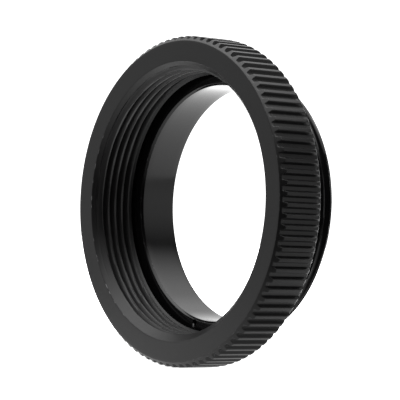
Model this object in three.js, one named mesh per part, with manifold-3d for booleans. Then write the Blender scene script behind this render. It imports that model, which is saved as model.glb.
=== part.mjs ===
// Captive coupling ring for a 1"-32 UN camera thread: a knurled ring with the female thread turns
// on a short barrel with the male thread. Millimetres, +Z up, the optical axis lies along Y.
// y = 0 is the plane where the barrel seats on the camera, and a lens screws in from the -Y side.
import * as THREE from 'three';
import { mergeVertices } from 'three/addons/utils/BufferGeometryUtils.js';
import Module from 'manifold-3d';

// ---- driving dimensions, mm ----
const FLANGE_DISTANCE = 5.1;       // lens seat to camera seat
const FRONT = -FLANGE_DISTANCE;    // y of the knurled ring's front face
const RING_REAR_Y = -0.03;         // the ring stands back from the camera, so that it can turn
const THREAD_MAJOR_R = 12.7;       // 1 inch thread
const THREAD_PITCH = 25.4 / 32;    // 32 turns per inch
const THREAD_DEPTH = 0.43;         // radial height of the thread form
const RUNNING_GAP = 0.05;          // between the turning ring and the barrel

const CREST_R = 15.4;              // over the knurl
const FLUTE_R = 15.07;             // bottom of a flute
const FLUTES = 97;
const KNURL_TURN = -0.005;         // radians
const FACE_OUTER_R = 14.92;
const FRONT_CONE = 0.51;           // length of the cone behind the front face
const REAR_CONE_Y = FRONT + 4.4;
const REAR_FACE_R = 14.5;
const MOUTH_R = 13.02;             // chamfered mouth of the female thread

const POCKET_Y = FRONT + 3.83;     // front wall of the pocket that holds the barrel's rim
const POCKET_IN_R = 13.15;
const POCKET_OUT_R = 14.15;
const THREAD_END_Y = FRONT + 4.19; // the female thread ends in a low lip
const END_LIP_R = 12.08;
const END_LIP_CHAMFER = 0.19;
const SHOULDER_Y = FRONT + 4.75;   // front face of the barrel, behind a wide relief groove
const RELIEF_R = 12.95;            // outer wall of the relief groove

const RIM_REAR_Y = FRONT + 4.5;    // rear face of the barrel's rim
const RIM_OUT_R = POCKET_OUT_R - RUNNING_GAP;
const WEB_R = 13.6;                // the web steps down to this behind the rim
const BORE_R = 11.12;              // clear light path
const BORE_CHAMFER = 0.18;         // at the front of the light path
const PIN_HOLE_R = 0.28;           // two blind holes for a pin spanner, to screw the barrel home
const PIN_HOLE_AT_R = 11.55;
const PIN_HOLE_END_Y = 0.05;
const PIN_HOLE_TURN = 10;          // degrees from the Z axis
const NOSE_CREST_R = 12.65;        // the male thread is a little under its nominal size
const NOSE_CONE_Y = 3.1;           // start of the cone at the tip
const NOSE_TIP_R = 12.05;
const NOSE_END_Y = 3.7;
const REAR_BORE_R = 11.32;         // chamfered rear end of the light path
const NOSE_ROOT_R = 12.15;         // thread relief behind the flange plane
const NOSE_ROOT_Y = 0.65;
const UNDERCUT_R = 12.8;           // the seat starts outside the thread, behind a shallow undercut
const UNDERCUT_DEPTH = 0.06;

const WASHER_T = 0.15;
const WASHER_Y = RIM_REAR_Y + 0.005;
const KEEPER_Y = WASHER_Y + WASHER_T + 0.005;   // front face of the retaining ring
const KEEPER_REAR_Y = -0.06;
const SLOT_WIDTH = 1.1;            // spanner slots across the retaining ring
const SLOT_DEPTH = 0.2;

const SEGMENTS = 60;               // steps per turn of every lathe shape and thread

// ---- solid helpers ----
const wasm = await Module();
wasm.setup();

function toSolid(geometry) {
  geometry.deleteAttribute('normal');
  geometry.deleteAttribute('uv');
  const merged = mergeVertices(geometry, 1e-5);
  return new wasm.Manifold(new wasm.Mesh({
    numProp: 3,
    vertProperties: new Float32Array(merged.attributes.position.array),
    triVerts: new Uint32Array(merged.index.array),
  }));
}

function toMesh(name, solid, material) {
  const result = solid.getMesh();
  const geometry = new THREE.BufferGeometry();
  geometry.setAttribute('position', new THREE.BufferAttribute(new Float32Array(result.vertProperties), 3));
  geometry.setIndex(new THREE.BufferAttribute(new Uint32Array(result.triVerts), 1));
  geometry.computeVertexNormals();
  const mesh = new THREE.Mesh(geometry, material);
  mesh.name = name;
  return mesh;
}

// A closed [r, y] outline turned about the Y axis. It runs anticlockwise seen with r to the right, y up.
function turned(outline, segments = SEGMENTS) {
  const points = outline.map(([r, y]) => new THREE.Vector2(r, y));
  if (outline[0][0] > 0) points.push(points[0].clone());
  return toSolid(new THREE.LatheGeometry(points, segments));
}

// A closed surface from rings of points, each ring in the same number of steps, ends capped on the axis.
function skin(rings) {
  const count = rings[0].length;
  const positions = rings.flat(2);
  const first = rings.length * count;
  positions.push(0, rings[0][0][1], 0, 0, rings.at(-1)[0][1], 0);
  const index = [];
  for (let i = 0; i < count; i += 1) {
    const next = (i + 1) % count;
    index.push(first, next, i);
    for (let row = 0; row < rings.length - 1; row += 1) {
      const a = row * count + i;
      const b = row * count + next;
      index.push(a, b, a + count, b, b + count, a + count);
    }
    const last = (rings.length - 1) * count;
    index.push(first + 1, last + i, last + next);
  }
  const geometry = new THREE.BufferGeometry();
  geometry.setAttribute('position', new THREE.Float32BufferAttribute(positions, 3));
  geometry.setIndex(index);
  return toSolid(geometry);
}

// A triangular groove wound round the Y axis as a right-hand helix. tip(t) and base(t) are the radii
// of the groove's point and open side at t turns.
function helicalGroove(startY, turns, halfWidth, tip, base) {
  const steps = Math.round(turns * SEGMENTS);
  const positions = [];
  for (let s = 0; s <= steps; s += 1) {
    const t = (s / steps) * turns;
    const angle = 2 * Math.PI * t;
    const y = startY + THREAD_PITCH * t;
    for (const [r, dy] of [[base(t), -halfWidth], [tip(t), -0.05], [tip(t), 0.05], [base(t), halfWidth]]) {
      positions.push(r * Math.sin(angle), y + dy, r * Math.cos(angle));
    }
  }
  const index = [];
  for (let s = 0; s < steps; s += 1) {
    for (let k = 0; k < 4; k += 1) {
      const a = s * 4 + k;
      const b = s * 4 + ((k + 1) % 4);
      index.push(a, a + 4, b, b, a + 4, b + 4);
    }
  }
  index.push(0, 1, 2, 0, 2, 3);
  const end = steps * 4;
  index.push(end, end + 2, end + 1, end, end + 3, end + 2);
  const geometry = new THREE.BufferGeometry();
  geometry.setAttribute('position', new THREE.Float32BufferAttribute(positions, 3));
  geometry.setIndex(index);
  const solid = toSolid(geometry);
  return solid.volume() > 0 ? solid : toSolid(geometry.clone().setIndex(index.slice().reverse()));
}

// ---- knurled ring ----
// One flute is a shallow trough between two ridges: two points on the ridge's top and one in the trough.
function knurlRing(y, crest, flute) {
  const points = [];
  for (let i = 0; i < FLUTES * 3; i += 1) {
    const angle = (2 * Math.PI * i) / (FLUTES * 3) + KNURL_TURN;
    const radius = i % 3 === 2 ? flute : crest;
    points.push([radius * Math.sin(angle), y, radius * Math.cos(angle)]);
  }
  return points;
}

// Each cone cuts the flutes' bottoms nearer to its end of the ring than the ridges.
const coneShare = (FLUTE_R - FACE_OUTER_R) / (CREST_R - FACE_OUTER_R);
const rearConeShare = (CREST_R - FLUTE_R) / (CREST_R - REAR_FACE_R);
const knurledBlank = skin([
  knurlRing(FRONT, FACE_OUTER_R, FACE_OUTER_R),
  knurlRing(FRONT + FRONT_CONE * coneShare, FLUTE_R, FLUTE_R),
  knurlRing(FRONT + FRONT_CONE, CREST_R, FLUTE_R),
  knurlRing(REAR_CONE_Y, CREST_R, FLUTE_R),
  knurlRing(REAR_CONE_Y + (RING_REAR_Y - REAR_CONE_Y) * rearConeShare, FLUTE_R, FLUTE_R),
  knurlRing(RING_REAR_Y, REAR_FACE_R, REAR_FACE_R),
]);

const ringBore = turned([
  [0, FRONT - 1],
  [MOUTH_R + 1, FRONT - 1],
  [MOUTH_R, FRONT],
  [THREAD_MAJOR_R - THREAD_DEPTH, FRONT + MOUTH_R - THREAD_MAJOR_R + THREAD_DEPTH],
  [THREAD_MAJOR_R - THREAD_DEPTH, THREAD_END_Y - END_LIP_CHAMFER],
  [END_LIP_R, THREAD_END_Y],
  [POCKET_IN_R, THREAD_END_Y],
  [POCKET_IN_R, POCKET_Y],
  [POCKET_OUT_R, POCKET_Y],
  [POCKET_OUT_R, 1],
  [0, 1],
]);

const femaleTurns = 4.95;
const femaleGroove = helicalGroove(
  FRONT - 0.234,
  femaleTurns,
  0.36,
  (t) => THREAD_MAJOR_R - 0.5 * Math.max(0, (t - femaleTurns + 0.5) / 0.5),
  () => THREAD_MAJOR_R - THREAD_DEPTH - 0.08,
);

const knurledRing = knurledBlank.subtract(ringBore).subtract(femaleGroove);

// ---- nose barrel ----
const barrelBlank = turned([
  [BORE_R, SHOULDER_Y + BORE_CHAMFER],
  [BORE_R + BORE_CHAMFER, SHOULDER_Y],
  [RELIEF_R, SHOULDER_Y],
  [RELIEF_R, THREAD_END_Y + RUNNING_GAP],
  [POCKET_IN_R + RUNNING_GAP, THREAD_END_Y + RUNNING_GAP],
  [POCKET_IN_R + RUNNING_GAP, POCKET_Y + RUNNING_GAP],
  [RIM_OUT_R, POCKET_Y + RUNNING_GAP],
  [RIM_OUT_R, RIM_REAR_Y],
  [WEB_R, RIM_REAR_Y],
  [WEB_R, 0],
  [UNDERCUT_R, 0],
  [NOSE_ROOT_R, -UNDERCUT_DEPTH],
  [NOSE_ROOT_R, NOSE_ROOT_Y],
  [NOSE_CREST_R, NOSE_ROOT_Y + 0.3],
  [NOSE_CREST_R, NOSE_CONE_Y],
  [NOSE_TIP_R, NOSE_END_Y],
  [REAR_BORE_R, NOSE_END_Y],
  [BORE_R, NOSE_END_Y + BORE_R - REAR_BORE_R],
]);

const maleGroove = helicalGroove(
  0.41,
  5.0,
  0.36,
  () => THREAD_MAJOR_R - THREAD_DEPTH,
  () => NOSE_CREST_R + 0.08,
).rotate([0, 180, 0]);

const pinHole = toSolid(new THREE.CylinderGeometry(PIN_HOLE_R, PIN_HOLE_R, 1, 14))
  .translate([0, PIN_HOLE_END_Y - 0.5, PIN_HOLE_AT_R])
  .rotate([0, PIN_HOLE_TURN, 0]);

const noseBarrel = barrelBlank
  .subtract(maleGroove)
  .subtract(pinHole)
  .subtract(pinHole.rotate([0, 180, 0]));

// ---- retaining ring and washer, both in the pocket behind the barrel's rim ----
const keeperBlank = turned([
  [WEB_R + RUNNING_GAP, KEEPER_Y],
  [POCKET_OUT_R - 0.02, KEEPER_Y],
  [POCKET_OUT_R - 0.02, KEEPER_REAR_Y],
  [WEB_R + RUNNING_GAP, KEEPER_REAR_Y],
]);

const slot = toSolid(new THREE.BoxGeometry(40, 2 * SLOT_DEPTH, SLOT_WIDTH)).translate([0, KEEPER_REAR_Y, 0]);
const retainingRing = keeperBlank.subtract(slot);

const frictionWasher = turned([
  [WEB_R + RUNNING_GAP, WASHER_Y],
  [POCKET_OUT_R - 0.03, WASHER_Y],
  [POCKET_OUT_R - 0.03, WASHER_Y + WASHER_T],
  [WEB_R + RUNNING_GAP, WASHER_Y + WASHER_T],
]);

// ---- materials ----
const anodised = () => new THREE.MeshStandardMaterial({ color: 0x1b1b1d, roughness: 0.5, metalness: 0.35 });
const bronze = new THREE.MeshStandardMaterial({ color: 0xa9784a, roughness: 0.35, metalness: 1 });

const part = new THREE.Group();
part.name = 'coupling_ring';
part.add(
  toMesh('nose_barrel', noseBarrel, anodised()),
  toMesh('knurled_ring', knurledRing, anodised()),
  toMesh('retaining_ring', retainingRing, anodised()),
  toMesh('friction_washer', frictionWasher, bronze),
);

export default part;
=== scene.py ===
# %% [markdown]
# # A coupling ring for a small camera thread
# The object is a short black ring. A knurled outer ring, with the thread that a lens screws into, turns
# on a barrel whose nose screws into the camera. A retaining ring and a thin bronze washer hold the two
# together from behind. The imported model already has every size, so this script makes the surfaces
# that the eye reads: rounded edges, real thread forms, flutes and the anodised finish. The box of the
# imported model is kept, because the finished surfaces have to stay inside it.

import bpy
import numpy as np
from mathutils import Matrix, Vector


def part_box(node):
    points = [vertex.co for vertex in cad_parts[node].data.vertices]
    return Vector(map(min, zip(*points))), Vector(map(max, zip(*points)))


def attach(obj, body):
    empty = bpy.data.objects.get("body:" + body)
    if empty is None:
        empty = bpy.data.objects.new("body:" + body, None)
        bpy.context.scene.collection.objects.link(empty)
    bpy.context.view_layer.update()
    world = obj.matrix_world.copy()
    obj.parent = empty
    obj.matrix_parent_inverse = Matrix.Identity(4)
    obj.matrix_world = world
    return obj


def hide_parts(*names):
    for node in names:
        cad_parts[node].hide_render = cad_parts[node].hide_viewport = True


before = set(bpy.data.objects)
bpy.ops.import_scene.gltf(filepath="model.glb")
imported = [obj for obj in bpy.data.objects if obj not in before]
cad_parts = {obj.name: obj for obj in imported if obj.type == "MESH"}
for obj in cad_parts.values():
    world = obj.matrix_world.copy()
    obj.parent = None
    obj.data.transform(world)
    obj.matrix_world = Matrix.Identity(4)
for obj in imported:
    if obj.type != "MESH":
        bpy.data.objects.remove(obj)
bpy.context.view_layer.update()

MM = 0.001
for node in sorted(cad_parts):
    low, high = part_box(node)
    print(node, [round(v / MM, 2) for v in (*low, *high)])

# %% [markdown]
# ## Driving sizes
# Everything is turned about the Y axis, so each piece is described by radii and by places along Y.
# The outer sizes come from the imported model. The others are the design's own numbers, in metres.

# %% Sizes
ring_low, ring_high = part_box("knurled_ring")
barrel_low, barrel_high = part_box("nose_barrel")
keeper_low, keeper_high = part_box("retaining_ring")
washer_low, washer_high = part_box("friction_washer")

FRONT = ring_low.y
RING_REAR = ring_high.y
CREST_R = max(ring_high.x, ring_high.z)
PITCH = 25.4 * MM / 32
THREAD_MAJOR_R = 12.7 * MM
THREAD_DEPTH = 0.43 * MM
THREAD_MINOR_R = THREAD_MAJOR_R - THREAD_DEPTH

FLUTES = 97
FLUTE_DEPTH = 0.33 * MM
FACE_OUTER_R = 14.92 * MM
FRONT_CONE = 0.51 * MM
REAR_CONE = FRONT + 4.43 * MM
REAR_FACE_R = 14.5 * MM
MOUTH_R = 13.02 * MM

POCKET = FRONT + 3.83 * MM
POCKET_IN_R = 13.15 * MM
POCKET_OUT_R = 14.15 * MM
THREAD_END = FRONT + 4.19 * MM
END_LIP_R = 12.08 * MM
END_LIP_CHAMFER = 0.19 * MM
SHOULDER = FRONT + 4.75 * MM
RELIEF_R = 12.95 * MM
GAP = 0.05 * MM

RIM_REAR = FRONT + 4.5 * MM
WEB_R = 13.6 * MM
UNDERCUT_R = 12.8 * MM
UNDERCUT_DEPTH = 0.06 * MM
BORE_R = 11.12 * MM
BORE_CHAMFER = 0.18 * MM
REAR_BORE_R = 11.32 * MM
NOSE_ROOT_R = 12.15 * MM
NOSE_ROOT = 0.65 * MM
NOSE_CREST_R = 12.65 * MM
NOSE_CONE = 3.1 * MM
NOSE_TIP_R = 12.05 * MM
NOSE_END = barrel_high.y

print("front face at", round(FRONT / MM, 3), "nose end at", round(NOSE_END / MM, 3), "mm")

# %% [markdown]
# ## The camera
# A long lens looks at the ring from its open front, about 51 degrees round from the axis, level with
# it, and rolled a little. It is placed first, because every other choice is judged through it.

# %% Camera
VIEW_TURN = np.radians(51.19)
VIEW_ROLL = np.radians(2.79)
VIEW_DISTANCE = 198.9 * MM
AIM_DEPTH = 2.94 * MM
AIM_RIGHT = 0.126 * MM
AIM_UP = 0.224 * MM
SENSOR = 36.0
FOCAL_LENGTH = 191.28

toward_camera = Vector((np.sin(VIEW_TURN), -np.cos(VIEW_TURN), 0))
level_right = Vector((np.cos(VIEW_TURN), np.sin(VIEW_TURN), 0))
camera_right = level_right * np.cos(VIEW_ROLL) + Vector((0, 0, np.sin(VIEW_ROLL)))
camera_up = toward_camera.cross(camera_right)
aim = Vector((0, FRONT + AIM_DEPTH, 0)) + camera_right * AIM_RIGHT + camera_up * AIM_UP

camera_data = bpy.data.cameras.new("camera")
camera_data.sensor_width = SENSOR
camera_data.lens = FOCAL_LENGTH
camera_data.clip_start = 0.01
camera = bpy.data.objects.new("camera", camera_data)
bpy.context.scene.collection.objects.link(camera)
turn = Matrix((camera_right, camera_up, toward_camera)).transposed()
camera.matrix_world = Matrix.Translation(aim + toward_camera * VIEW_DISTANCE) @ turn.to_4x4()
bpy.context.scene.camera = camera
print("camera", round(VIEW_DISTANCE / MM), "mm from the ring")

# %% [markdown]
# ## Profiles
# A turned piece starts as a profile: a list of corners, each a radius and a place along the axis. No
# machined edge is perfectly sharp, so each corner is replaced by a short curve. The middle of each
# curve is marked, and the finish later uses that mark to show where the black has worn.

# %% Profile helper
BEND_STEPS = 4


def smooth(low, high, value):
    """0 below low, 1 above high, and 3t^2 - 2t^3 in between."""
    t = np.clip((value - low) / (high - low), 0, 1)
    return t * t * (3 - 2 * t)


def profile(corners, closed=False):
    """Rows along a profile, as arrays of radius, place and edge mark.

    Each corner is (radius, place, rounding, steps), in metres, where steps is how many rows the straight
    run after it is cut into. The rounding is a quadratic curve, (1-t)^2 A + 2t(1-t) C + t^2 B, from a
    point A before the corner C to a point B after it.
    """
    points = np.array([c[:2] for c in corners], float)
    rows, marks = [], []
    count = len(points)
    for i, (_, _, rounding, steps) in enumerate(corners):
        corner = points[i]
        before = points[i - 1] - corner
        after = points[(i + 1) % count] - corner
        ends = not closed and i in (0, count - 1)
        if rounding and not ends:
            a = corner + before / np.linalg.norm(before) * rounding
            b = corner + after / np.linalg.norm(after) * rounding
            t = np.linspace(0, 1, BEND_STEPS + 1)[:, None]
            rows.append((1 - t) ** 2 * a + 2 * t * (1 - t) * corner + t ** 2 * b)
            marks.append(4 * t[:, 0] * (1 - t[:, 0]))
        else:
            rows.append(corner[None])
            marks.append(np.zeros(1))
        if not closed and i == count - 1:
            break
        start = rows[-1][-1]
        next_rounding = corners[(i + 1) % count][2]
        if not closed and i + 1 == count - 1:
            next_rounding = 0
        target = points[(i + 1) % count]
        target = target - after / np.linalg.norm(after) * next_rounding
        t = np.linspace(0, 1, max(steps, 1) + 1)[1:-1, None]
        if len(t):
            rows.append(start + (target - start) * t)
            marks.append(np.zeros(len(t)))
    rows = np.concatenate(rows)
    return rows[:, 0], rows[:, 1], np.concatenate(marks)


# %% [markdown]
# ## From profile to surface
# The surface is a function of two parameters: the row along the profile and the angle round the axis.
# Radius and place may both change with the angle, which is all that a thread or a flute needs.

# %% Surface helpers
SHARP_DEGREES = 40


def grid_points(radius, place, angle):
    """Points at (radius sin(angle), place, radius cos(angle)), one row of the grid per profile row."""
    radius, place, angle = np.broadcast_arrays(radius, place, angle)
    return np.stack([radius * np.sin(angle), place, radius * np.cos(angle)], -1)


def grid_faces(rows, columns, first=0, closed=True):
    """Quads between neighbouring rows and columns; columns wrap round, and rows do too when closed."""
    row = np.arange(rows if closed else rows - 1)[:, None]
    column = np.arange(columns)[None, :]
    next_row = (row + 1) % rows
    next_column = (column + 1) % columns
    corners = [(row, column), (row, next_column), (next_row, next_column), (next_row, column)]
    return first + np.stack([r * columns + c for r, c in corners], -1).reshape(-1, 4)


def make_mesh(name, points, face_groups, marks):
    """A mesh object from points and groups of faces, one group per corner count, with the edge marks."""
    points = points.reshape(-1, 3)
    loops = np.concatenate([g.ravel() for g in face_groups]).astype(np.int32)
    totals = np.concatenate([np.full(len(g), g.shape[1]) for g in face_groups])
    starts = np.concatenate([[0], np.cumsum(totals)[:-1]]).astype(np.int32)
    mesh = bpy.data.meshes.new(name)
    mesh.vertices.add(len(points))
    mesh.vertices.foreach_set("co", points.astype(np.float32).ravel())
    mesh.loops.add(len(loops))
    mesh.loops.foreach_set("vertex_index", loops)
    mesh.polygons.add(len(starts))
    mesh.polygons.foreach_set("loop_start", starts)
    mesh.update(calc_edges=True)
    mesh.polygons.foreach_set("use_smooth", np.ones(len(starts), bool))
    mesh.set_sharp_from_angle(angle=np.radians(SHARP_DEGREES))
    edge = mesh.attributes.new("edge", "FLOAT", "POINT")
    edge.data.foreach_set("value", marks.astype(np.float32).ravel())
    mesh.validate()
    piece = bpy.data.objects.new(name, mesh)
    bpy.context.scene.collection.objects.link(piece)
    triangles = int((totals - 2).sum())
    print(name, len(points), "points,", triangles, "triangles")
    return piece


# %% [markdown]
# ## Thread form
# A unified thread is a 60 degree groove wound along the axis, with a narrow flat at its root and a
# wider one at the crest. It could be swept along a helix, but unrolled it is only a wave of the phase
# (place / pitch - turns), so one function serves the thread in the ring and, with a narrower crest
# and less depth, the thread on the nose.

# %% Thread wave
ROOT_FLAT = 0.125


def groove(place, angle, start, crest_flat):
    """Depth share of a right-hand groove: 1 at the root flat, 0 on the crest, flanks between.

    The phase is (place - start) / pitch - angle / full turn, and the distance from the groove's
    middle is its distance to the nearest whole number, doubled so that it runs from 0 to 1. A flank is
    three parts straight line and one part smooth step.
    """
    phase = (place - start) / PITCH - angle / (2 * np.pi)
    away = 2 * np.abs(phase - np.round(phase))
    flank = np.clip((away - ROOT_FLAT) / (1 - ROOT_FLAT - crest_flat), 0, 1)
    return 1 - (0.75 * flank + 0.25 * smooth(0, 1, flank))


# %% [markdown]
# ## Knurled ring
# The outside has straight flutes from the front cone to the rounded rear edge. Flutes could be a
# modifier or a boolean, but as a surface the outside is only the smaller of two radii at each point:
# the plain turned shape and the fluted cylinder. The columns crowd towards the flutes' walls, where
# the surface bends most.

# %% Flute columns
FLUTE_COLUMNS = np.array([-50, -42, -36, -32, -28, -23, -17, 0, 17, 23, 28, 32, 36, 42]) / 100
KNURL_TURN = np.radians(87.5)
outer_angles = (np.arange(FLUTES)[:, None] + FLUTE_COLUMNS).ravel() * 2 * np.pi / FLUTES + KNURL_TURN
inner_angles = outer_angles[::2]
across_flute = np.tile(np.abs(FLUTE_COLUMNS), FLUTES)
FLOOR_EDGE = 0.17
WALL_TOP = 0.37
flute_share = 1 - smooth(FLOOR_EDGE, WALL_TOP, across_flute)
print(FLUTES, "flutes on", len(outer_angles), "columns")

# %% Fluted outside
SMALL_EDGE = 0.05 * MM
REAR_EDGE = 0.3 * MM
OUTER_WEAR = 0.2
outer_r, outer_y, outer_mark = profile([
    (FACE_OUTER_R - 0.3 * MM, FRONT, 0, 1),
    (FACE_OUTER_R, FRONT, SMALL_EDGE, 9),
    (CREST_R, FRONT + FRONT_CONE, SMALL_EDGE, 3),
    (CREST_R, REAR_CONE, REAR_EDGE, 5),
    (REAR_FACE_R, RING_REAR, SMALL_EDGE, 1),
    (POCKET_OUT_R + 0.3 * MM, RING_REAR, 0, 1),
])
outer_radius = np.minimum(outer_r[:, None], CREST_R - FLUTE_DEPTH * flute_share)
outer_marks = np.broadcast_to(OUTER_WEAR * outer_mark[:, None], outer_radius.shape)
print("outside", outer_radius.shape, "rows and columns")

# %% [markdown]
# ## The ring's thread
# The inside runs from the rear pocket over a small lip, through the thread and out at the chamfered
# mouth. The thread could be swept along a helix, but then it would have to be cut into the bore. Here
# the bore is simply the larger of two radii, the turned one and the thread's, and the thread fades out
# before the lip, where the tool was drawn back. The mouth's edge is worn on one side, so only that
# side is marked.

# %% Threaded inside
FEMALE_START = FRONT + 0.56 * MM
FEMALE_CREST_FLAT = 0.25
WORN_SIDE = np.radians(255)
LIP_START = THREAD_END - END_LIP_CHAMFER
inner_r, inner_y, inner_mark = profile([
    (POCKET_OUT_R + 0.15 * MM, RING_REAR, 0, 1),
    (POCKET_OUT_R, RING_REAR, 0.05 * MM, 1),
    (POCKET_OUT_R, POCKET, 0, 1),
    (POCKET_IN_R, POCKET, 0, 1),
    (POCKET_IN_R, THREAD_END, 0, 1),
    (END_LIP_R, THREAD_END, 0.03 * MM, 1),
    (THREAD_MINOR_R, LIP_START, 0.03 * MM, 52),
    (THREAD_MINOR_R, FRONT + MOUTH_R - THREAD_MINOR_R, 0, 14),
    (MOUTH_R, FRONT, 0.04 * MM, 1),
    (MOUTH_R + 0.15 * MM, FRONT, 0, 1),
])
thread_run = 1 - smooth(THREAD_END - 0.4 * MM, THREAD_END - 0.2 * MM, inner_y[:, None])
in_thread = inner_y < THREAD_END - 0.15 * MM
female = groove(inner_y[:, None], inner_angles, FEMALE_START, FEMALE_CREST_FLAT) * thread_run
female_radius = (THREAD_MINOR_R + THREAD_DEPTH * female) * in_thread[:, None]
inner_radius = np.maximum(inner_r[:, None], female_radius)
mouth_mark = inner_mark * (inner_y < FRONT + 0.1 * MM)
inner_marks = mouth_mark[:, None] * smooth(0.55, 0.9, np.cos(inner_angles - WORN_SIDE))
print("inside", inner_radius.shape, "rows and columns")

# %% [markdown]
# ## One closed ring
# The outside has two columns for each one of the inside. The flat front and rear faces join the two
# with five-sided faces, so that the ring is one closed surface without a seam, and the thread is not
# given twice the columns that it needs.

# %% Join the two
outer_rows, outer_columns = outer_radius.shape
inner_rows, inner_columns = inner_radius.shape
inner_first = outer_rows * outer_columns


def join_rows(wide, narrow, narrow_first):
    """Five-sided faces between a row of 2n points and a row of n points, two wide edges to one narrow.

    wide and narrow are the first point numbers of the rows. The faces run the same way round as the
    quads, from the earlier row to the later one, and narrow_first says which row is the earlier.
    """
    j = np.arange(inner_columns)
    k = (j + 1) % inner_columns
    a, b, c = wide + 2 * j, wide + 2 * j + 1, wide + 2 * k
    if narrow_first:
        return np.stack([narrow + j, narrow + k, c, b, a], -1)
    return np.stack([a, b, c, narrow + k, narrow + j], -1)


knurled_ring = make_mesh(
    "ring_body",
    np.concatenate([
        grid_points(outer_radius, outer_y[:, None], outer_angles).reshape(-1, 3),
        grid_points(inner_radius, inner_y[:, None], inner_angles).reshape(-1, 3),
    ]),
    [
        grid_faces(outer_rows, outer_columns, 0, closed=False),
        grid_faces(inner_rows, inner_columns, inner_first, closed=False),
        join_rows(inner_first - outer_columns, inner_first, narrow_first=False),
        join_rows(0, inner_first + (inner_rows - 1) * inner_columns, narrow_first=True),
    ],
    np.concatenate([outer_marks.ravel(), inner_marks.ravel()]),
)
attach(knurled_ring, "ring")
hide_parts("knurled_ring")

# %% [markdown]
# ## Nose barrel
# The barrel is one closed profile: a rim that runs in the ring's pocket, a web that seats on the
# camera, the nose with its male thread, a straight bore with a chamfer at both ends, and the shoulder
# behind the wide relief groove. It could be a lathed curve with a Screw modifier, but the thread needs
# a radius that changes with the angle, so it is a grid like the ring.

# %% Barrel profile
RIM_IN_R = POCKET_IN_R + GAP
RIM_OUT_R = POCKET_OUT_R - GAP
barrel_r, barrel_y, barrel_mark = profile([
    (RIM_OUT_R, POCKET + GAP, 0.04 * MM, 1),
    (RIM_OUT_R, RIM_REAR, 0.04 * MM, 1),
    (WEB_R, RIM_REAR, 0, 1),
    (WEB_R, 0, 0.05 * MM, 1),
    (UNDERCUT_R, 0, 0, 1),
    (NOSE_ROOT_R, -UNDERCUT_DEPTH, 0.05 * MM, 1),
    (NOSE_ROOT_R, NOSE_ROOT, 0, 3),
    (NOSE_CREST_R, NOSE_ROOT + 0.3 * MM, 0, 34),
    (NOSE_CREST_R, NOSE_CONE, 0, 10),
    (NOSE_TIP_R, NOSE_END, 0.05 * MM, 1),
    (REAR_BORE_R, NOSE_END, 0.03 * MM, 1),
    (BORE_R, NOSE_END - (REAR_BORE_R - BORE_R), 0.04 * MM, 6),
    (BORE_R, SHOULDER + BORE_CHAMFER, 0.03 * MM, 1),
    (BORE_R + BORE_CHAMFER, SHOULDER, 0.03 * MM, 4),
    (RELIEF_R, SHOULDER, 0, 1),
    (RELIEF_R, THREAD_END + GAP, 0, 1),
    (RIM_IN_R, THREAD_END + GAP, 0, 1),
    (RIM_IN_R, POCKET + GAP, 0.04 * MM, 1),
], closed=True)
print(len(barrel_r), "rows round the barrel's profile")

# %% [markdown]
# ## The nose's thread
# The male thread is the smaller of two radii, and it is cut nearly sharp: its crest flat is less than
# half as wide as the ring's. It starts past a relief at the root of the nose, and the cone at the tip
# cuts it off.

# %% Nose barrel
BARREL_COLUMNS = 720
MALE_START = 0.0125 * MM
MALE_CREST_FLAT = 0.1
barrel_angles = np.arange(BARREL_COLUMNS) * 2 * np.pi / BARREL_COLUMNS
male_run = smooth(NOSE_ROOT - 0.1 * MM, NOSE_ROOT + 0.25 * MM, barrel_y[:, None])
male = groove(barrel_y[:, None], barrel_angles, MALE_START, MALE_CREST_FLAT) * male_run
male_radius = NOSE_CREST_R - (NOSE_CREST_R - THREAD_MINOR_R) * male
on_thread = (barrel_y > NOSE_ROOT) & (barrel_r > NOSE_ROOT_R)
barrel_radius = np.where(on_thread[:, None], np.minimum(barrel_r[:, None], male_radius), barrel_r[:, None])
nose_barrel = make_mesh(
    "barrel_body",
    grid_points(barrel_radius, barrel_y[:, None], barrel_angles),
    [grid_faces(len(barrel_r), BARREL_COLUMNS)],
    np.broadcast_to(barrel_mark[:, None], barrel_radius.shape),
)

# %% [markdown]
# ## Pin-spanner holes
# Two blind holes in the shoulder, on opposite sides, take the pins of a spanner that screws the barrel
# home. They are small and round and do not follow the grid, so a boolean drills each one with a
# closed cylinder, which is then removed.

# %% Pin-spanner holes
PIN_HOLE_R = 0.28 * MM
PIN_HOLE_AT_R = 11.55 * MM
PIN_HOLE_END = 0.05 * MM
PIN_HOLE_TURNS = (np.radians(10), np.radians(190))
PIN_SIDES = 24
pin_turn = np.arange(PIN_SIDES) * 2 * np.pi / PIN_SIDES
pin_y = np.array([PIN_HOLE_END, SHOULDER - 0.5 * MM])
pin_walls = grid_faces(2, PIN_SIDES, closed=False)[:, ::-1]
pin_caps = [np.arange(PIN_SIDES)[None, ::-1], np.arange(PIN_SIDES)[None] + PIN_SIDES]
for number, hole_angle in enumerate(PIN_HOLE_TURNS):
    centre = np.array([np.sin(hole_angle), 0, np.cos(hole_angle)]) * PIN_HOLE_AT_R
    circle = grid_points(PIN_HOLE_R, pin_y[:, None], pin_turn) + centre
    pin = make_mesh(f"pin_{number}", circle, [pin_walls, *pin_caps], np.zeros(2 * PIN_SIDES))
    drill = nose_barrel.modifiers.new("drill", "BOOLEAN")
    drill.operation = "DIFFERENCE"
    drill.solver = "EXACT"
    drill.object = pin
    bpy.context.view_layer.objects.active = nose_barrel
    bpy.ops.object.modifier_apply(modifier=drill.name)
    bpy.data.objects.remove(pin)
print("barrel after drilling:", len(nose_barrel.data.polygons), "faces")
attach(nose_barrel, "barrel")
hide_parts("nose_barrel")

# %% [markdown]
# ## Retaining ring
# It sits in the pocket behind the barrel's rim and keeps the barrel in the knurled ring. It is a flat
# ring with two spanner slots, which a boolean could cut. On a grid its rear face simply drops where
# the angle falls inside a slot.

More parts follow.
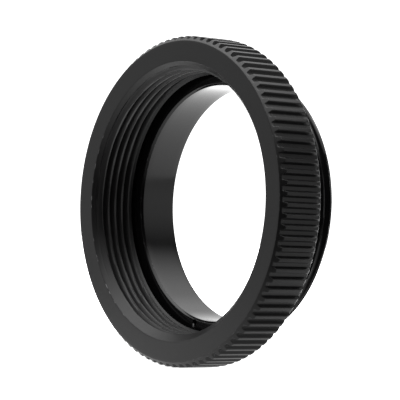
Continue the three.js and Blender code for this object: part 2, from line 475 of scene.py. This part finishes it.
# %% Retaining ring
SLOT_WIDTH = 1.1 * MM
SLOT_DEPTH = 0.2 * MM
SLOT_WALL = 0.003
KEEPER_R = POCKET_OUT_R - 0.02 * MM
plain_angles = np.arange(360) * 2 * np.pi / 360
slot_half = SLOT_WIDTH / 2 / POCKET_OUT_R
slot_sides = np.array([-slot_half - SLOT_WALL, -slot_half, slot_half, slot_half + SLOT_WALL])
slot_columns = np.concatenate([slot_sides + np.pi / 2, slot_sides + 3 * np.pi / 2])
keeper_angles = np.sort(np.concatenate([plain_angles, slot_columns]))
from_slot = np.abs(np.cos(keeper_angles))
in_slot = from_slot < np.sin(slot_half + SLOT_WALL / 2)
keeper_r, keeper_y, keeper_mark = profile([
    (KEEPER_R, keeper_low.y, 0.04 * MM, 1),
    (KEEPER_R, keeper_high.y, 0.05 * MM, 1),
    (WEB_R + GAP, keeper_high.y, 0.05 * MM, 1),
    (WEB_R + GAP, keeper_low.y, 0.04 * MM, 1),
])
slot_floor = keeper_high.y - SLOT_DEPTH
keeper_place = np.where(in_slot, np.minimum(keeper_y[:, None], slot_floor), keeper_y[:, None])
retaining_ring = make_mesh(
    "retaining_ring_body",
    grid_points(keeper_r[:, None], keeper_place, keeper_angles),
    [grid_faces(len(keeper_r), len(keeper_angles))],
    np.broadcast_to(keeper_mark[:, None], keeper_place.shape),
)
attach(retaining_ring, "ring")
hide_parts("retaining_ring")

# %% [markdown]
# ## Friction washer
# A thin bronze washer between the barrel's rim and the retaining ring takes up the play and makes the
# ring turn evenly. It is stamped from strip, so it is a flat ring with slightly rounded edges.

# %% Friction washer
WASHER_R = POCKET_OUT_R - 0.03 * MM
WASHER_EDGE = 0.03 * MM
washer_r, washer_y, washer_mark = profile([
    (WASHER_R, washer_low.y, WASHER_EDGE, 1),
    (WASHER_R, washer_high.y, WASHER_EDGE, 1),
    (WEB_R + GAP, washer_high.y, WASHER_EDGE, 1),
    (WEB_R + GAP, washer_low.y, WASHER_EDGE, 1),
])
friction_washer = make_mesh(
    "friction_washer_body",
    grid_points(washer_r[:, None], washer_y[:, None], plain_angles),
    [grid_faces(len(washer_r), len(plain_angles))],
    np.broadcast_to(washer_mark[:, None], (len(washer_r), len(plain_angles))),
)
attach(friction_washer, "ring")
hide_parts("friction_washer")

# %% [markdown]
# ## Black anodising
# Anodised aluminium is a hard black oxide over turned metal. It is matte, but it keeps the fine
# grooves of the lathe, which run round the axis, and it wears to bare metal along edges. The grooves
# are noise that depends on the radius and the place along the axis, and hardly on the angle. The wear
# is the edge mark broken up by noise. Both come from Object coordinates or from the mesh, so they move
# with the piece.

# %% Node helpers
def link_value(tree, kind, settings, inputs):
    """Adds a node, applies its settings, fills or links its inputs, and returns it."""
    node = tree.nodes.new(kind)
    for key, value in settings.items():
        setattr(node, key, value)
    for key, value in inputs.items():
        if isinstance(value, bpy.types.NodeSocket):
            tree.links.new(value, node.inputs[key])
        else:
            node.inputs[key].default_value = value
    return node


def maths(tree, operation, first, second):
    """The value of one Math node with two inputs."""
    settings = {"operation": operation}
    return link_value(tree, "ShaderNodeMath", settings, {0: first, 1: second}).outputs[0]


def ramp(tree, value, low, high, at_low=0.0, at_high=1.0):
    """A clamped straight line from at_low, where value is low, to at_high, where it is high."""
    inputs = {"Value": value, "From Min": low, "From Max": high, "To Min": at_low, "To Max": at_high}
    return link_value(tree, "ShaderNodeMapRange", {"clamp": True}, inputs).outputs[0]


def noise(tree, vector, scale, detail):
    """The value of a noise texture."""
    inputs = {"Vector": vector, "Scale": scale, "Detail": detail}
    return link_value(tree, "ShaderNodeTexNoise", {}, inputs).outputs[0]


def lathe_vector(tree, position):
    """(radius, place, angle times a quarter millimetre): noise on it runs in rings round the axis."""
    parts = link_value(tree, "ShaderNodeSeparateXYZ", {}, {0: position}).outputs
    flat = link_value(tree, "ShaderNodeCombineXYZ", {}, {"X": parts["X"], "Z": parts["Z"]}).outputs[0]
    radius = link_value(tree, "ShaderNodeVectorMath", {"operation": "LENGTH"}, {0: flat}).outputs["Value"]
    around = maths(tree, "ARCTAN2", parts["X"], parts["Z"])
    around = maths(tree, "MULTIPLY", around, MM / 4)
    rings = link_value(tree, "ShaderNodeCombineXYZ", {}, {"X": radius, "Y": parts["Y"], "Z": around})
    return rings.outputs[0]


# %% Anodised finish
def anodised(name, black, roughness, groove_depth, wear):
    """Matte black oxide on turned aluminium."""
    material = bpy.data.materials.new(name)
    material.use_nodes = True
    tree = material.node_tree
    shader = tree.nodes["Principled BSDF"]
    position = link_value(tree, "ShaderNodeTexCoord", {}, {}).outputs["Object"]

    cloud = noise(tree, position, 260, 4)
    grain = noise(tree, position, 9000, 2)
    rings = noise(tree, lathe_vector(tree, position), 11000, 3)

    edge = link_value(tree, "ShaderNodeAttribute", {"attribute_name": "edge"}, {}).outputs["Fac"]
    chips = ramp(tree, noise(tree, position, 1800, 4), 0.53, 0.68)
    worn = maths(tree, "MULTIPLY", maths(tree, "MULTIPLY", edge, chips), wear)

    tone = link_value(tree, "ShaderNodeMix", {"data_type": "RGBA"}, {"Factor": cloud})
    tone.inputs["A"].default_value = (*[c * 0.8 for c in black], 1)
    tone.inputs["B"].default_value = (*[c * 1.25 for c in black], 1)
    bare = link_value(tree, "ShaderNodeMix", {"data_type": "RGBA"}, {"Factor": worn})
    tree.links.new(tone.outputs["Result"], bare.inputs["A"])
    bare.inputs["B"].default_value = (0.42, 0.42, 0.43, 1)
    tree.links.new(bare.outputs["Result"], shader.inputs["Base Color"])

    uneven = ramp(tree, maths(tree, "ADD", cloud, maths(tree, "MULTIPLY", rings, 0.6)), 0.5, 1.1,
                  roughness - 0.05, roughness + 0.06)
    tree.links.new(uneven, shader.inputs["Roughness"])
    shader.inputs["IOR"].default_value = 1.5

    relief = maths(tree, "ADD", rings, maths(tree, "MULTIPLY", grain, 0.5))
    bump = link_value(tree, "ShaderNodeBump", {}, {"Height": relief, "Strength": 1.0})
    bump.inputs["Distance"].default_value = groove_depth
    tree.links.new(bump.outputs["Normal"], shader.inputs["Normal"])
    return material


BLACK = (0.0052, 0.005, 0.0053)
knurled_ring.data.materials.append(anodised("ring_black", BLACK, 0.36, 0.003 * MM, 0.8))
nose_barrel.data.materials.append(anodised("barrel_black", BLACK, 0.14, 0.001 * MM, 0.25))
retaining_ring.data.materials.append(anodised("keeper_black", BLACK, 0.4, 0.004 * MM, 0.5))
print("black finish on the ring, the barrel and the retaining ring")

# %% [markdown]
# ## Bronze washer
# Rolled strip carries a slightly brown, blotchy oxide. It is bare metal, so the colour is in the
# reflection, and one noise drives both the colour and the roughness.

# %% Bronze finish
def bronze(name):
    """Rolled bronze strip with a thin brown oxide."""
    material = bpy.data.materials.new(name)
    material.use_nodes = True
    tree = material.node_tree
    shader = tree.nodes["Principled BSDF"]
    position = link_value(tree, "ShaderNodeTexCoord", {}, {}).outputs["Object"]
    stains = noise(tree, position, 500, 4)
    tone = link_value(tree, "ShaderNodeMix", {"data_type": "RGBA"}, {"Factor": stains})
    tone.inputs["A"].default_value = (0.50, 0.30, 0.14, 1)
    tone.inputs["B"].default_value = (0.33, 0.19, 0.09, 1)
    tree.links.new(tone.outputs["Result"], shader.inputs["Base Color"])
    shader.inputs["Metallic"].default_value = 1.0
    tree.links.new(ramp(tree, stains, 0.3, 0.7, 0.28, 0.45), shader.inputs["Roughness"])
    return material


friction_washer.data.materials.append(bronze("rolled_bronze"))
print("bronze on the washer")

# %% [markdown]
# ## Floor
# The ring stands on what looks like white paper without a shadow, as on a light table. The light on it
# could come from lamps, but a paper that glows by itself also lights the ring from below. Its glow
# grows from front to back, because the bore's top mirrors the paper far behind and is nearly white,
# while the mouth's chamfer mirrors the paper in front and is dark. Its own colour is black, so it
# takes no shadow, and it is a narrow strip, so that the front face mirrors only the sky at the left.
# Rays from the camera find it plain white.

# %% Floor
FLOOR_Z = -CREST_R - 0.02 * MM
PAPER_HALF = 0.05
PAPER_FRONT = 0.06
PAPER_BACK = -0.6
GLOW_FRONT, GLOW_FRONT_AT = 0.1, 0.03
GLOW_BACK, GLOW_BACK_AT = 3.0, -0.07

corners = [(-1, PAPER_FRONT), (1, PAPER_FRONT), (1, PAPER_BACK), (-1, PAPER_BACK)]
places = [level_right * side * PAPER_HALF + toward_camera * near for side, near in corners]
floor_mesh = bpy.data.meshes.new("paper")
floor_mesh.from_pydata([(*spot.xy, FLOOR_Z) for spot in places], [], [(0, 1, 2, 3)])
floor = bpy.data.objects.new("paper", floor_mesh)
bpy.context.scene.collection.objects.link(floor)
paper = bpy.data.materials.new("paper")
paper.use_nodes = True
tree = paper.node_tree
place = link_value(tree, "ShaderNodeTexCoord", {}, {}).outputs["Object"]
nearness = link_value(tree, "ShaderNodeVectorMath", {"operation": "DOT_PRODUCT"}, {0: place})
nearness.inputs[1].default_value = toward_camera
glow = ramp(tree, nearness.outputs["Value"], GLOW_FRONT_AT, GLOW_BACK_AT, GLOW_FRONT, GLOW_BACK)
seen = link_value(tree, "ShaderNodeLightPath", {}, {}).outputs["Is Camera Ray"]
paper_shader = tree.nodes["Principled BSDF"]
paper_shader.inputs["Base Color"].default_value = (0, 0, 0, 1)
paper_shader.inputs["Emission Color"].default_value = (1, 1, 1, 1)
tree.links.new(maths(tree, "MAXIMUM", glow, seen), paper_shader.inputs["Emission Strength"])
floor_mesh.materials.append(paper)
print("paper at", round(FLOOR_Z / MM, 2), "mm")

# %% [markdown]
# ## Light
# Patches of light above and behind do most of the work. Weak ones lie at the left, which the front face
# mirrors, at the upper left, and at the right, which the bore's left wall mirrors. The camera's side
# stays dark, so the black faces that look at the camera stay black and the ones seen at a glancing
# angle pick up the white. Area lamps could do the same with harder edges. Here the patches are lobes of
# the sky: a lobe is brightest along its own direction and fades to nothing at a given angle from it.
# The camera itself sees plain white behind the ring.

# %% Light from the sky
world = bpy.data.worlds.new("studio")
world.use_nodes = True
bpy.context.scene.world = world
tree = world.node_tree
direction = link_value(tree, "ShaderNodeTexCoord", {}, {}).outputs["Generated"]


def lobe(toward, spread, brightness):
    """Sky brightness: nothing beyond a spread, in degrees from a direction, and rising evenly inside."""
    facing = link_value(tree, "ShaderNodeVectorMath", {"operation": "DOT_PRODUCT"}, {0: direction})
    facing.inputs[1].default_value = toward.normalized()
    return ramp(tree, facing.outputs["Value"], np.cos(np.radians(spread)), 1.0, 0.0, brightness)


WIDE = 57
NARROW = 37
up = Vector((0, 0, 1))
lobes = [
    lobe(-toward_camera, WIDE, 1.64),
    lobe(up, WIDE, 3.1),
    lobe(up - level_right, WIDE, 0.46),
    lobe(-level_right - 0.2 * toward_camera, WIDE, 0.4),
    lobe(level_right + 0.2 * toward_camera, NARROW, 0.6),
]
sky = lobes[0]
for patch in lobes[1:]:
    sky = maths(tree, "ADD", sky, patch)
seen = link_value(tree, "ShaderNodeLightPath", {}, {}).outputs["Is Camera Ray"]
background = tree.nodes["Background"]
tree.links.new(maths(tree, "MAXIMUM", sky, seen), background.inputs["Strength"])
background.inputs["Color"].default_value = (1, 1, 1, 1)
bpy.context.scene.view_settings.view_transform = "Standard"
print(len(lobes), "lobes of light")
